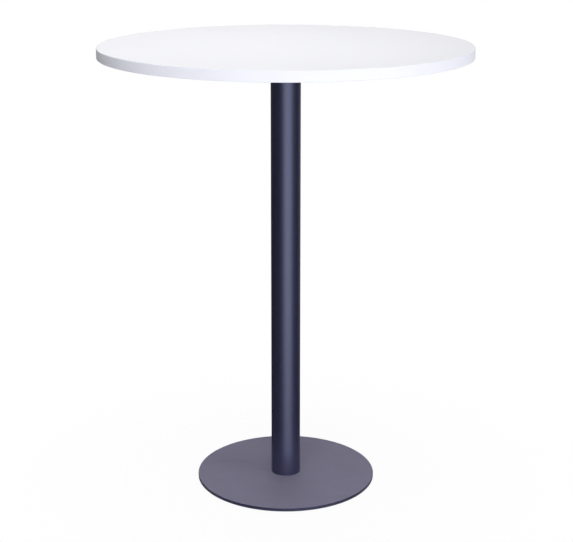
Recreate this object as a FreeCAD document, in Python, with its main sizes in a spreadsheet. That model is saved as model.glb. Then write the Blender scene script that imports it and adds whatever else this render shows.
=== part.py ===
import FreeCAD, Part
import os

import Sketcher

# Pedestal pub table, in millimetres. The origin is on the floor at the middle of the base disc,
# +Z is up, and the butt seam of the top's edge band is at the rear, on the +Y side.
#
# From the floor up: four levelling glides, a flat steel base disc, a round tube closed at both
# ends by welded plugs, a square mounting plate and a laminated round top with an edge band.
# Screws from under the disc and from above the plate hold the tube by its tapped plugs.

SIZES = {
    "table_height": 1110,
    # The top: a core between two laminates, with a band round its edge.
    "top_diameter": 900,
    "top_thickness": 25,
    "laminate_thickness": 0.8,
    "edge_band_thickness": 2,
    "edge_band_round": 1.5,
    "edge_band_seam": 0.3,
    # The square plate under the top, and the wood screws that hold the top to it.
    "plate_side": 320,
    "plate_thickness": 5,
    "plate_corner_round": 30,
    "plate_edge_chamfer": 0.5,
    "wood_screw_inset": 20,
    "wood_screw_hole": 6,
    "wood_screw_diameter": 5,
    "wood_screw_length": 20,
    "wood_screw_point": 4,
    "wood_screw_tip_diameter": 0.6,
    "wood_screw_head_diameter": 9.5,
    "wood_screw_head_height": 3.2,
    "wood_screw_head_bevel": 1.6,
    "cross_recess_span": 5,
    "cross_recess_width": 1.4,
    "cross_recess_depth": 1.8,
    "pilot_hole_spare_depth": 0.5,
    # The column and the plugs welded into its ends.
    "tube_diameter": 73,
    "tube_wall": 2,
    "tube_end_chamfer": 0.5,
    "plug_thickness": 12,
    "plug_clearance": 0.1,
    "plug_vent_diameter": 16,
    "weld_size": 3,
    # The countersunk machine screws that hold the plugs to the plate and to the disc.
    "bolt_circle": 44,
    "bolt_count": 4,
    "bolt_diameter": 8,
    "bolt_length": 16,
    "bolt_head_diameter": 16,
    "bolt_end_chamfer": 1,
    "bolt_hole": 9,
    "bolt_countersink": 17.5,
    "hex_socket_flats": 5,
    "hex_socket_depth": 3,
    # Radial play between a screw and the plain bore that stands for its thread.
    "thread_clearance": 0.05,
    # The base disc.
    "base_diameter": 450,
    "base_thickness": 8,
    "base_edge_round": 1.5,
    "base_edge_chamfer": 0.5,
    # The levelling glides under it.
    "glide_circle": 400,
    "glide_first_angle": 45,
    "glide_pad_diameter": 30,
    "glide_pad_height": 4,
    "glide_pad_floor": 1.5,
    "glide_pad_chamfer": 0.8,
    "glide_notch_count": 8,
    "glide_notch_radius": 2.5,
    "glide_notch_depth": 1.2,
    "glide_stud_diameter": 8,
    "glide_stud_reach": 6,
    "glide_stud_chamfer": 0.8,
    "glide_hole_spare_depth": 0.5,
}

GLIDES = 4
PLATE_SIDES = 4
FULL_TURN = 360
COUNTERSINK_ANGLE = 90
FLIP = FreeCAD.Rotation(FreeCAD.Vector(1, 0, 0), 180)
SLACK = 1e-6

# Levels from the floor, and the sizes that follow from others.
DISC_BOTTOM = "size.glide_pad_height"
DISC_TOP = f"({DISC_BOTTOM} + size.base_thickness)"
TOP_UNDERSIDE = "(size.table_height - size.top_thickness)"
PLATE_BOTTOM = f"({TOP_UNDERSIDE} - size.plate_thickness)"
PANEL_DIAMETER = "(size.top_diameter - 2 * size.edge_band_thickness)"
CORE_THICKNESS = "(size.top_thickness - 2 * size.laminate_thickness)"
TUBE_BORE = "(size.tube_diameter - 2 * size.tube_wall)"
PLUG_DIAMETER = f"({TUBE_BORE} - 2 * size.plug_clearance)"
BOLT_TAPPED_HOLE = "(size.bolt_diameter + 2 * size.thread_clearance)"
WOOD_SCREW_BORE = "(size.wood_screw_diameter + 2 * size.thread_clearance)"
GLIDE_BORE = "(size.glide_stud_diameter + 2 * size.thread_clearance)"
BOLT_PLACE = ("size.bolt_circle / 2", "0")
WOOD_SCREW_OFFSET = "(size.plate_side / 2 - size.wood_screw_inset)"
WOOD_SCREW_PLACES = ((WOOD_SCREW_OFFSET, WOOD_SCREW_OFFSET), (WOOD_SCREW_OFFSET, "0"))


doc = FreeCAD.newDocument("pub_table")
sheet = doc.addObject("Spreadsheet::Sheet", "size")
for row, (alias, number) in enumerate(SIZES.items(), start=1):
    sheet.set(f"A{row}", alias.replace("_", " "))
    sheet.set(f"B{row}", str(number))
    sheet.setAlias(f"B{row}", alias)
doc.recompute()


def number_of(expression):
    """What an expression on the sheet comes to now."""
    return float(sheet.evalExpression(expression))


def new_body(label, level="0", flipped=False):
    """An empty body whose own zero is at a level above the floor, or hangs upside down from it."""
    body = doc.addObject("PartDesign::Body", label)
    body.Label = label
    body.AllowCompound = True
    if flipped:
        body.Placement = FreeCAD.Placement(FreeCAD.Vector(), FLIP)
    body.setExpression("Placement.Base.z", level)
    return body


def origin_part(body, role):
    """One of the body's own origin planes or axes."""
    return next(part for part in body.Origin.OriginFeatures if part.Role == role)


def new_sketch(body, name, role="XY_Plane", shift=None):
    """A sketch on an origin plane, moved in that plane's own axes by the given expressions."""
    sketch = body.newObject("Sketcher::SketchObject", name)
    sketch.AttachmentSupport = [(origin_part(body, role), "")]
    sketch.MapMode = "FlatFace"
    for axis, expression in (shift or {}).items():
        sketch.setExpression(f"AttachmentOffset.Base.{axis}", expression)
    return sketch


def fix(sketch, kind, *where, to):
    """Adds a dimension to a sketch and ties it to an expression."""
    index = sketch.addConstraint(Sketcher.Constraint(kind, *where, number_of(to)))
    sketch.setExpression(f"Constraints[{index}]", to)


def fix_point(sketch, edge, end, place):
    """Ties one point of a sketch edge to a place measured from the sketch's origin."""
    fix(sketch, "DistanceX", -1, 1, edge, end, to=place[0])
    fix(sketch, "DistanceY", -1, 1, edge, end, to=place[1])


def draw_circle(sketch, diameter, place=("0", "0")):
    """A circle of a given diameter about a place."""
    centre = FreeCAD.Vector(number_of(place[0]), number_of(place[1]), 0)
    radius = number_of(diameter) / 2
    edge = sketch.addGeometry(Part.Circle(centre, FreeCAD.Vector(0, 0, 1), radius))
    fix_point(sketch, edge, 3, place)
    fix(sketch, "Diameter", edge, to=diameter)


def draw_outline(sketch, corners):
    """A closed outline of straight edges through corners given as pairs of expressions."""
    points = [FreeCAD.Vector(number_of(x), number_of(y), 0) for x, y in corners]
    followers = points[1:] + points[:1]
    edges = [sketch.addGeometry(Part.LineSegment(*ends)) for ends in zip(points, followers)]
    for edge, follower, corner in zip(edges, edges[1:] + edges[:1], corners):
        sketch.addConstraint(Sketcher.Constraint("Coincident", edge, 2, follower, 1))
        fix_point(sketch, edge, 1, corner)


def draw_rectangle(sketch, width, height, centre=("0", "0")):
    """A rectangle about a centre."""
    left, right = (f"{centre[0]} {sign} {width} / 2" for sign in "-+")
    low, high = (f"{centre[1]} {sign} {height} / 2" for sign in "-+")
    draw_outline(sketch, ((left, low), (right, low), (right, high), (left, high)))


def pad(body, name, sketch, height):
    """Raises a sketch to a height along +Z of the body."""
    feature = body.newObject("PartDesign::Pad", name)
    feature.Profile = sketch
    feature.setExpression("Length", height)
    doc.recompute()
    return feature


def pocket(body, name, sketch, depth=None):
    """Cuts a sketch upwards into the body, to a depth or right through, and checks that it cuts."""
    before = body.Shape.Volume
    feature = body.newObject("PartDesign::Pocket", name)
    feature.Profile = sketch
    feature.Reversed = True
    if depth is None:
        feature.Type = "ThroughAll"
    else:
        feature.setExpression("Length", depth)
    doc.recompute()
    if feature.Shape.Volume >= before - SLACK:
        raise ValueError(f"{body.Label}: {name} cuts nothing")
    return feature


def revolve(body, name, sketch):
    """Turns a sketch once round its own upright axis."""
    feature = body.newObject("PartDesign::Revolution", name)
    feature.Profile = sketch
    feature.ReferenceAxis = (sketch, ["V_Axis"])
    feature.Angle = FULL_TURN
    doc.recompute()


def drill(body, name, sketch, diameter, depth=None, countersink=None, upwards=True):
    """Drills the circles of a sketch, blind or right through, and checks that the drill cuts."""
    before = body.Shape.Volume
    feature = body.newObject("PartDesign::Hole", name)
    feature.Profile = sketch
    doc.recompute()
    feature.Threaded = False
    feature.Reversed = upwards
    feature.setExpression("Diameter", diameter)
    feature.DepthType = "ThroughAll" if depth is None else "Dimension"
    feature.DrillPoint = "Flat"
    if depth is not None:
        feature.setExpression("Depth", depth)
    if countersink is not None:
        feature.HoleCutType = "Countersink"
        feature.HoleCutCountersinkAngle = COUNTERSINK_ANGLE
        feature.setExpression("HoleCutDiameter", countersink)
    doc.recompute()
    if feature.Shape.Volume >= before - SLACK:
        raise ValueError(f"{body.Label}: {name} cuts nothing")
    return feature


def repeat_round(body, name, count, cut=None):
    """Repeats one cut, or else the whole body so far, evenly round the body's Z axis."""
    pattern = body.newObject("PartDesign::PolarPattern", name)
    if cut is None:
        pattern.TransformMode = "Whole shape"
    else:
        pattern.Originals = [cut]
    pattern.Axis = (origin_part(body, "Z_Axis"), [""])
    pattern.Angle = FULL_TURN
    pattern.setExpression("Occurrences", str(count))
    body.Tip = pattern
    doc.recompute()


def edges_where(feature, test):
    """The names of a feature's edges that pass a test."""
    return [f"Edge{i}" for i, edge in enumerate(feature.Shape.Edges, start=1) if test(edge)]


def circle_edges(feature, diameter, levels):
    """The names of the circular edges about Z with a diameter, at any of some levels."""
    radius = number_of(diameter) / 2
    heights = [number_of(level) for level in levels]

    def matches(edge):
        round_edge = isinstance(edge.Curve, Part.Circle)
        if not round_edge or abs(edge.Curve.Radius - radius) > SLACK:
            return False
        return any(abs(edge.Curve.Center.z - height) < SLACK for height in heights)

    return edges_where(feature, matches)


def dress(body, kind, name, feature, edges, size_name):
    """Puts a Fillet or a Chamfer of a size from the sheet on some edges of a feature."""
    dressed = body.newObject(f"PartDesign::{kind}", name)
    dressed.Base = (feature, edges)
    dressed.setExpression("Radius" if kind == "Fillet" else "Size", size_name)
    doc.recompute()
    return dressed


def make_panel(label, level, thickness, screw_bore_depth=None, through=False):
    """One round layer of the top, with bores for the wood screws from below where they reach."""
    body = new_body(label, level)
    sketch = new_sketch(body, f"{label}_outline")
    draw_circle(sketch, PANEL_DIAMETER)
    pad(body, f"{label}_layer", sketch, thickness)
    if screw_bore_depth or through:
        places = new_sketch(body, f"{label}_screw_places")
        for place in WOOD_SCREW_PLACES:
            draw_circle(places, WOOD_SCREW_BORE, place)
        bores = drill(body, f"{label}_screw_bores", places, WOOD_SCREW_BORE, screw_bore_depth)
        repeat_round(body, f"{label}_screw_bore_pattern", PLATE_SIDES, bores)


def make_edge_band():
    """A band bent round the panel, rounded on its two outer edges, with a butt seam at the rear."""
    body = new_body("table_top_edge_band", TOP_UNDERSIDE)
    ring = new_sketch(body, "band_ring")
    draw_circle(ring, "size.top_diameter")
    draw_circle(ring, PANEL_DIAMETER)
    band = pad(body, "band", ring, "size.top_thickness")
    rims = circle_edges(band, "size.top_diameter", ("0", "size.top_thickness"))
    dress(body, "Fillet", "band_rounded_edges", band, rims, "size.edge_band_round")
    seam = new_sketch(body, "band_seam_line")
    middle = "(size.top_diameter - size.edge_band_thickness) / 2"
    draw_rectangle(seam, "size.edge_band_seam", "2 * size.edge_band_thickness", ("0", middle))
    pocket(body, "band_seam", seam)


def make_mounting_plate():
    """A square steel plate with holes for wood screws and countersunk holes for the bolts."""
    body = new_body("mounting_plate", PLATE_BOTTOM)
    outline = new_sketch(body, "plate_outline")
    draw_rectangle(outline, "size.plate_side", "size.plate_side")
    blank = pad(body, "plate_blank", outline, "size.plate_thickness")
    upright = edges_where(blank, lambda edge: edge.BoundBox.ZLength > SLACK)
    rounded = dress(body, "Fillet", "plate_corners", blank, upright, "size.plate_corner_round")
    rim = edges_where(rounded, lambda edge: edge.BoundBox.ZMax < SLACK)
    dress(body, "Chamfer", "plate_lower_edge", rounded, rim, "size.plate_edge_chamfer")

    places = new_sketch(body, "wood_screw_places")
    for place in WOOD_SCREW_PLACES:
        draw_circle(places, "size.wood_screw_hole", place)
    holes = drill(body, "wood_screw_holes", places, "size.wood_screw_hole")
    repeat_round(body, "wood_screw_hole_pattern", PLATE_SIDES, holes)

    places = new_sketch(body, "bolt_places", shift={"z": "size.plate_thickness"})
    draw_circle(places, "size.bolt_hole", BOLT_PLACE)
    holes = drill(body, "bolt_holes", places, "size.bolt_hole",
                  countersink="size.bolt_countersink", upwards=False)
    repeat_round(body, "bolt_hole_pattern", "size.bolt_count", holes)


def cross_corners(centre, span, width):
    """The twelve corners of a cross about a centre, anticlockwise from its right arm."""
    reach, half = (f"{size} / 2" for size in (span, width))
    arm = ((reach, half), (half, half), (half, reach))
    corners = []
    for across, along in ((1, 1), (-1, 1), (-1, -1), (1, -1)):
        quarter = arm if across == along else arm[::-1]
        corners += [(f"{centre[0]} + {across} * {x}", f"{centre[1]} + {along} * {y}")
                    for x, y in quarter]
    return corners


def make_wood_screws():
    """Pan-head screws, with their heads under the plate and their points up in the core."""
    body = new_body("plate_wood_screws", PLATE_BOTTOM)
    shank = "size.wood_screw_diameter / 2"
    head = "size.wood_screw_head_diameter / 2"
    head_end = "-size.wood_screw_head_height"
    for name, (across, along) in zip(("corner", "side"), WOOD_SCREW_PLACES):
        half = new_sketch(body, f"{name}_screw_half", "XZ_Plane", {"x": across, "z": f"-{along}"})
        draw_outline(half, (
            ("0", head_end),
            (f"{head} - size.wood_screw_head_bevel", head_end),
            (head, f"{head_end} + size.wood_screw_head_bevel"),
            (head, "0"),
            (shank, "0"),
            (shank, "size.wood_screw_length - size.wood_screw_point"),
            ("size.wood_screw_tip_diameter / 2", "size.wood_screw_length"),
            ("0", "size.wood_screw_length"),
        ))
        revolve(body, f"{name}_screw", half)
        cross = new_sketch(body, f"{name}_recess_cross", shift={"z": head_end})
        draw_outline(cross, cross_corners((across, along), "size.cross_recess_span",
                                          "size.cross_recess_width"))
        pocket(body, f"{name}_recess", cross, "size.cross_recess_depth")
    repeat_round(body, "wood_screw_pattern", PLATE_SIDES)


def make_tube():
    """The column: a round tube between the disc and the plate, deburred at both outer ends."""
    body = new_body("column_tube", DISC_TOP)
    length = f"{PLATE_BOTTOM} - {DISC_TOP}"
    ring = new_sketch(body, "tube_ring")
    draw_circle(ring, "size.tube_diameter")
    draw_circle(ring, TUBE_BORE)
    tube = pad(body, "tube", ring, length)
    ends = circle_edges(tube, "size.tube_diameter", ("0", length))
    dress(body, "Chamfer", "tube_deburred_ends", tube, ends, "size.tube_end_chamfer")


def make_plug(label, level, flipped):
    """A round plug whose outer face is flush with the tube's end and chamfered for its weld."""
    body = new_body(label, level, flipped)
    outline = new_sketch(body, f"{label}_outline")
    draw_circle(outline, PLUG_DIAMETER)
    blank = pad(body, f"{label}_blank", outline, "size.plug_thickness")
    rim = circle_edges(blank, PLUG_DIAMETER, ("0",))
    dress(body, "Chamfer", f"{label}_weld_groove", blank, rim, "size.weld_size")

    vent = new_sketch(body, f"{label}_vent_place")
    draw_circle(vent, "size.plug_vent_diameter")
    drill(body, f"{label}_vent", vent, "size.plug_vent_diameter")
    place = new_sketch(body, f"{label}_bolt_place")
    draw_circle(place, BOLT_TAPPED_HOLE, BOLT_PLACE)
    hole = drill(body, f"{label}_tapped_holes", place, BOLT_TAPPED_HOLE)
    repeat_round(body, f"{label}_tapped_hole_pattern", "size.bolt_count", hole)


def make_plug_weld(label, level, flipped):
    """The ring of weld that fills the groove between a plug's chamfer and the tube's bore."""
    body = new_body(label, level, flipped)
    bore = f"{TUBE_BORE} / 2"
    plug = f"{PLUG_DIAMETER} / 2"
    section = new_sketch(body, f"{label}_section", "XZ_Plane")
    draw_outline(section, (
        (f"{plug} - size.weld_size", "0"),
        (bore, "0"),
        (bore, "size.weld_size"),
        (plug, "size.weld_size"),
    ))
    revolve(body, f"{label}_bead", section)


def make_bolts(label, level, flipped):
    """Countersunk socket screws; their zero is the face that the heads are sunk into."""
    body = new_body(label, level, flipped)
    shank = "size.bolt_diameter / 2"
    head = "size.bolt_head_diameter / 2"
    sunk = "(size.bolt_countersink - size.bolt_head_diameter) / 2"
    end = f"{sunk} + size.bolt_length"
    half = new_sketch(body, f"{label}_half", "XZ_Plane", {"x": BOLT_PLACE[0]})
    draw_outline(half, (
        ("0", sunk),
        (head, sunk),
        (shank, f"{sunk} + {head} - {shank}"),
        (shank, f"{end} - size.bolt_end_chamfer"),
        (f"{shank} - size.bolt_end_chamfer", end),
        ("0", end),
    ))
    revolve(body, f"{label}_turned", half)
    socket = new_sketch(body, f"{label}_socket_flats", shift={"z": sunk})
    flat = "size.hex_socket_flats"
    corners = [(f"{BOLT_PLACE[0]} + {flat} / sqrt(3) * cos({angle})",
                f"{flat} / sqrt(3) * sin({angle})") for angle in range(0, FULL_TURN, 60)]
    draw_outline(socket, corners)
    pocket(body, f"{label}_socket", socket, "size.hex_socket_depth")
    repeat_round(body, f"{label}_pattern", "size.bolt_count")


def glide_place(angle):
    """Where a glide stands at an angle from +X."""
    return (f"size.glide_circle / 2 * cos({angle})", f"size.glide_circle / 2 * sin({angle})")


def make_base_disc():
    """A flat disc, rounded above, with countersunk bolt holes and blind glide holes below."""
    body = new_body("base_disc", DISC_BOTTOM)
    outline = new_sketch(body, "disc_outline")
    draw_circle(outline, "size.base_diameter")
    blank = pad(body, "disc_blank", outline, "size.base_thickness")
    rim = circle_edges(blank, "size.base_diameter", ("size.base_thickness",))
    rounded = dress(body, "Fillet", "disc_upper_edge", blank, rim, "size.base_edge_round")
    rim = circle_edges(rounded, "size.base_diameter", ("0",))
    dress(body, "Chamfer", "disc_lower_edge", rounded, rim, "size.base_edge_chamfer")

    place = new_sketch(body, "disc_bolt_place")
    draw_circle(place, "size.bolt_hole", BOLT_PLACE)
    holes = drill(body, "disc_bolt_holes", place, "size.bolt_hole",
                  countersink="size.bolt_countersink")
    repeat_round(body, "disc_bolt_hole_pattern", "size.bolt_count", holes)

    place = new_sketch(body, "disc_glide_place")
    draw_circle(place, GLIDE_BORE, glide_place("size.glide_first_angle"))
    depth = "size.glide_stud_reach + size.glide_hole_spare_depth"
    holes = drill(body, "disc_glide_holes", place, GLIDE_BORE, depth)
    repeat_round(body, "disc_glide_hole_pattern", GLIDES, holes)


def make_glide(number):
    """A levelling glide, screwed right in: a threaded stud and the pad that it is moulded into."""
    angle = f"(size.glide_first_angle + {number - 1} * {FULL_TURN // GLIDES})"
    for part, make in (("stud", make_glide_stud), ("pad", make_glide_pad)):
        body = new_body(f"glide_{number}_{part}")
        for axis, expression in zip("xy", glide_place(angle)):
            body.setExpression(f"Placement.Base.{axis}", expression)
        make(body)


def make_glide_stud(body):
    """A threaded stud from the pad's floor up into the disc."""
    half = new_sketch(body, f"{body.Label}_half", "XZ_Plane")
    radius = "size.glide_stud_diameter / 2"
    end = "size.glide_pad_height + size.glide_stud_reach"
    draw_outline(half, (
        ("0", "size.glide_pad_floor"),
        (radius, "size.glide_pad_floor"),
        (radius, f"{end} - size.glide_stud_chamfer"),
        (f"{radius} - size.glide_stud_chamfer", end),
        ("0", end),
    ))
    revolve(body, f"{body.Label}_turned", half)


def make_glide_pad(body):
    """A round pad with a socket for the stud and finger notches round its rim."""
    outline = new_sketch(body, f"{body.Label}_outline")
    draw_circle(outline, "size.glide_pad_diameter")
    blank = pad(body, f"{body.Label}_blank", outline, "size.glide_pad_height")
    rims = circle_edges(blank, "size.glide_pad_diameter", ("0", "size.glide_pad_height"))
    dress(body, "Chamfer", f"{body.Label}_bevels", blank, rims, "size.glide_pad_chamfer")

    socket = new_sketch(body, f"{body.Label}_socket_place", shift={"z": "size.glide_pad_height"})
    draw_circle(socket, GLIDE_BORE)
    drill(body, f"{body.Label}_socket", socket, GLIDE_BORE,
          "size.glide_pad_height - size.glide_pad_floor", upwards=False)

    place = "size.glide_pad_diameter / 2 + size.glide_notch_radius - size.glide_notch_depth"
    notch = new_sketch(body, f"{body.Label}_notch_place")
    draw_circle(notch, "2 * size.glide_notch_radius", (place, "0"))
    cut = pocket(body, f"{body.Label}_notch", notch)
    repeat_round(body, f"{body.Label}_notch_pattern", "size.glide_notch_count", cut)


make_panel("table_top_laminate", "size.table_height - size.laminate_thickness",
           "size.laminate_thickness")
make_panel("table_top_core", f"{TOP_UNDERSIDE} + size.laminate_thickness", CORE_THICKNESS,
           screw_bore_depth="size.wood_screw_length + size.pilot_hole_spare_depth"
                            " - size.plate_thickness - size.laminate_thickness")
make_panel("table_top_backer", TOP_UNDERSIDE, "size.laminate_thickness", through=True)
make_edge_band()
make_mounting_plate()
make_wood_screws()
make_bolts("plate_column_screws", TOP_UNDERSIDE, flipped=True)
make_tube()
make_plug("column_top_plug", PLATE_BOTTOM, flipped=True)
make_plug_weld("top_plug_weld", PLATE_BOTTOM, flipped=True)
make_plug("column_bottom_plug", DISC_TOP, flipped=False)
make_plug_weld("bottom_plug_weld", DISC_TOP, flipped=False)
make_base_disc()
make_bolts("base_column_screws", DISC_BOTTOM, flipped=False)
for glide_number in range(1, GLIDES + 1):
    make_glide(glide_number)
doc.recompute()

for item in doc.Objects:
    if {"Invalid", "Error"} & set(item.State):
        raise ValueError(f"{item.Label} failed: {item.State}")

bodies = [item for item in doc.Objects if item.isDerivedFrom("PartDesign::Body")]
for body in bodies:
    if body.Shape.isNull() or not body.Shape.isValid() or not body.Shape.Solids:
        raise ValueError(f"{body.Label} has no valid solid")

os.makedirs("parts", exist_ok=True)
for body in bodies:
    body.Shape.exportStep(f"parts/{body.Label}.step")
    box = body.Shape.BoundBox
    print(f"{body.Label}: {len(body.Shape.Solids)} solid(s), {body.Shape.Volume:.0f} mm3, "
          f"z {box.ZMin:.2f} to {box.ZMax:.2f}")
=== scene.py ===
import math
from collections import namedtuple

import bmesh
import bpy
import numpy as np
from bpy.props import FloatProperty, FloatVectorProperty, IntProperty, PointerProperty
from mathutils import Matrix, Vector
from mathutils.geometry import delaunay_2d_cdt


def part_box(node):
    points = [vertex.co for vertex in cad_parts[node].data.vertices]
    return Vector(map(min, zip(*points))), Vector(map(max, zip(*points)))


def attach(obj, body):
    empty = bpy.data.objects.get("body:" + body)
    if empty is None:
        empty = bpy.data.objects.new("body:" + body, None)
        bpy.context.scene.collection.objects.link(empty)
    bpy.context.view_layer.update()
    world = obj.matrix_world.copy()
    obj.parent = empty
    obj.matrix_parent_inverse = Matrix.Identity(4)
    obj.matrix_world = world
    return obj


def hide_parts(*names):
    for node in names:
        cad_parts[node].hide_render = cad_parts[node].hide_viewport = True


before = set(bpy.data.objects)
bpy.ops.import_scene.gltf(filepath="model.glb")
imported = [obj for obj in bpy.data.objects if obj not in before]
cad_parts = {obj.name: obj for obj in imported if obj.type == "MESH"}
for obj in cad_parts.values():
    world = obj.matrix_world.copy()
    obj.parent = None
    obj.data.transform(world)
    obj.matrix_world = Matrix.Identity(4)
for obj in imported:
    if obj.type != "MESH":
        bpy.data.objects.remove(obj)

bl_info = {
    "name": "Pub table",
    "version": (1, 0, 0),
    "blender": (4, 5, 0),
    "location": "View3D > Sidebar > Pub table",
    "description": "Finished surfaces, materials and a studio for a round pedestal pub table",
    "category": "Add Mesh",
}

# Every length is in metres, in the frame's own axes: +Z is up and the origin is on the floor
# under the middle of the base disc.

# How many points go round a large piece, a hole or a screw, and a glide's pad.
LARGE_ROUND = 192
SMALL_ROUND = 48
PAD_ROUND = 96

BOLTS = 4
GLIDES = 4
MERGE_DISTANCE = 2e-6
SHARP_ANGLE = math.radians(35)
CREASE = 0.0005  # from a rim to the ring that keeps its shading crisp
FACE_MARGIN = 0.004  # from a rim to the pierced face inside it
TIP_BEVEL = 0.0005  # on the ends of machine screws and studs
STUD_TIP = 0.0006  # height of that bevel on a stud
RECESS_LIP = 0.0002  # chamfer at the mouth of a hexagon socket
HEAD_LAND = 0.0003  # straight rim of a countersunk head

# How much further each screw is turned than the one before, in radians.
WOOD_SCREW_STOP = 2.4
BOLT_STOP = 1.9

# Two grooves in a pad's underside, each from one radius to another: a dish and a ring.
GROOVE_DEPTH = 0.0003
GROOVE_SLOPE = 0.0004
PAD_DISH = 0.0044
PAD_RING = (0.0076, 0.0100)


# ---------- Sizes, colours and the studio, as a user would change them ----------

def amount(name, description, default, **options):
    """A number property."""
    return FloatProperty(name=name, description=description, default=default, **options)


def length(name, description, default):
    """A length property in metres."""
    return amount(name, description, default, min=0, precision=5, subtype="DISTANCE",
                  unit="LENGTH")


def colour(name, description, default):
    """A colour property, in linear light."""
    return FloatVectorProperty(name=name, description=description, default=default, size=3,
                               min=0, max=1, subtype="COLOR")


def power(name, description, default):
    """A lamp's power, in watts."""
    return amount(name, description, default, min=0, unit="POWER")


def share(name, description, default):
    """A property from 0 to 1."""
    return amount(name, description, default, min=0, max=1, subtype="FACTOR")


class TableSizes(bpy.types.PropertyGroup):
    """The sizes of the table's details; the main sizes come from the CAD parts in model.glb."""
    band_round: length("Band round", "Radius of the edge band's two outer edges", 0.0015)
    band_seam: length("Band seam", "Width of the butt seam at the rear of the edge band", 0.0003)
    glue_line: length("Glue line", "Width of the bevel on each side of the joint round the top",
                      0.0001)
    disc_round: length("Disc round", "Radius of the base disc's upper edge", 0.0015)
    disc_chamfer: length("Disc chamfer", "Chamfer of the base disc's lower edge", 0.0005)
    tube_wall: length("Tube wall", "Wall thickness of the column", 0.002)
    tube_chamfer: length("Tube chamfer", "Chamfer on the column's outer ends", 0.0005)
    plate_corner: length("Plate corner", "Radius of the mounting plate's corners", 0.03)
    plate_chamfer: length("Plate chamfer", "Chamfer of the mounting plate's lower edge", 0.0005)
    wood_screw_inset: length("Wood screw inset", "From the plate's edge to the screws", 0.02)
    wood_screw_hole: length("Wood screw hole", "Diameter of the plate's screw holes", 0.006)
    wood_screw_core: length("Wood screw core", "Diameter at the bottom of the thread", 0.0034)
    wood_screw_diameter: length("Wood screw diameter", "Diameter over the thread", 0.005)
    wood_screw_pitch: length("Wood screw pitch", "Climb of the thread in one turn", 0.0022)
    wood_screw_point: length("Wood screw point", "Length of the tapered point", 0.004)
    wood_screw_head: length("Wood screw head", "Diameter of the pan head", 0.0095)
    wood_screw_head_height: length("Wood screw head height", "Height of the pan head", 0.0032)
    cross_span: length("Cross recess span", "Across the arms of the cross recess", 0.005)
    cross_depth: length("Cross recess depth", "Depth of the cross recess", 0.0018)
    bolt_circle: length("Bolt circle", "Diameter of the circle of machine screws", 0.044)
    bolt_hole: length("Bolt hole", "Diameter of the clearance holes", 0.009)
    bolt_countersink: length("Bolt countersink", "Mouth of the countersunk holes", 0.0175)
    bolt_diameter: length("Bolt diameter", "Diameter over the machine screws' thread", 0.008)
    bolt_core: length("Bolt core", "Diameter at the bottom of that thread", 0.0066)
    bolt_pitch: length("Bolt pitch", "Climb of that thread in one turn", 0.00125)
    bolt_head: length("Bolt head", "Diameter of the countersunk head", 0.016)
    hex_flats: length("Socket flats", "Across the flats of the hexagon socket", 0.005)
    hex_depth: length("Socket depth", "Depth of the hexagon socket", 0.003)
    glide_notch_radius: length("Notch radius", "Radius of the finger notches", 0.0025)
    glide_notch_depth: length("Notch depth", "How deep the notches cut the rim", 0.0012)
    glide_diameter: length("Glide diameter", "Diameter of a glide's pad", 0.03)
    glide_bevel: length("Glide bevel", "Bevel on the pad's two rims", 0.0008)
    glide_hole: length("Glide hole", "Diameter of the tapped hole under the disc", 0.0081)
    glide_hole_depth: length("Glide hole depth", "Depth of that hole", 0.0065)
    glide_notches: IntProperty(name="Notches", description="Finger notches round a pad",
                               default=8, min=0, max=24)


class TableFinish(bpy.types.PropertyGroup):
    """The colours and gloss of the table's finishes."""
    laminate: colour("Laminate", "Colour of the white top and its backer", (0.85, 0.842, 0.862))
    band: colour("Edge band", "Colour of the white edge band", (0.852, 0.856, 0.912))
    coat: colour("Powder coat", "Colour of the near-black powder coat", (0.011, 0.0105, 0.031))
    # This dust colour also paints the grazing sheen over the whole upper face of the base disc.
    coat_dust_and_sheen: colour("Dust", "Colour of the dust and scuffs on the coat", (0.215, 0.200, 0.270))
    zinc: colour("Zinc", "Colour of the plated screws", (0.60, 0.61, 0.62))
    steel: colour("Bare steel", "Colour of the cut and welded steel", (0.36, 0.35, 0.34))
    nylon: colour("Nylon", "Colour of the glides' pads", (0.020, 0.020, 0.022))
    chip_light: colour("Light chips", "The lightest chips in the core", (0.62, 0.47, 0.30))
    chip_dark: colour("Dark chips", "The darkest chips in the core", (0.30, 0.19, 0.10))
    coat_roughness: share("Coat roughness", "Roughness of the powder coat", 0.44)
    laminate_roughness: share("Laminate roughness", "Roughness of the white top", 0.34)


class Studio(bpy.types.PropertyGroup):
    """The camera, the lamps and the background."""
    camera_distance: length("Camera distance", "In front of the column's axis", 3.3083)
    camera_height: length("Camera height", "Above the floor", 1.5081)
    camera_tilt: amount("Camera tilt", "Below the horizon", 0.2496, subtype="ANGLE",
                        unit="ROTATION")
    focal_pixels: amount("Focal length", "In pixels of a picture 573 wide", 1382.7, min=1)
    centre_across: amount("Axis across", "Where the lens axis meets the picture, from the left",
                          285.75)
    centre_down: amount("Axis down", "Where the lens axis meets the picture, from the top",
                        225.2)
    key_power: power("Key power", "Tall wide soft box in front", 30.4)
    side_power: power("Side power", "Soft box at the right", 24.5)
    left_power: power("Left power", "Small soft box in front, left", 7.5)
    base_power: power("Base power", "Gridded soft box in front, on the base", 1.9)
    rear_power: power("Rear power", "Gridded soft box behind, on the base", 2.4)
    top_power: power("Top power", "Wide soft box overhead", 26.4)
    back_power: power("Back power", "Tall soft box behind, right", 2.8)
    fill_power: power("Fill power", "Wide soft box behind", 16)
    under_power: power("Under power", "Small lamp under the base", 2.5)
    lamp_tint: colour("Lamp tint", "Colour of the lamps", (0.96, 0.97, 1.0))
    ambient: amount("Ambient", "Strength of the soft light from all round", 0.27, min=0)
    floor: colour("Floor", "Colour of the floor", (0.80, 0.80, 0.80))
    floor_radius: length("Floor radius", "Where the floor has faded away", 0.9)
    floor_opening: length("Floor opening", "Radius of the opening under the base disc", 0.216)


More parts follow.
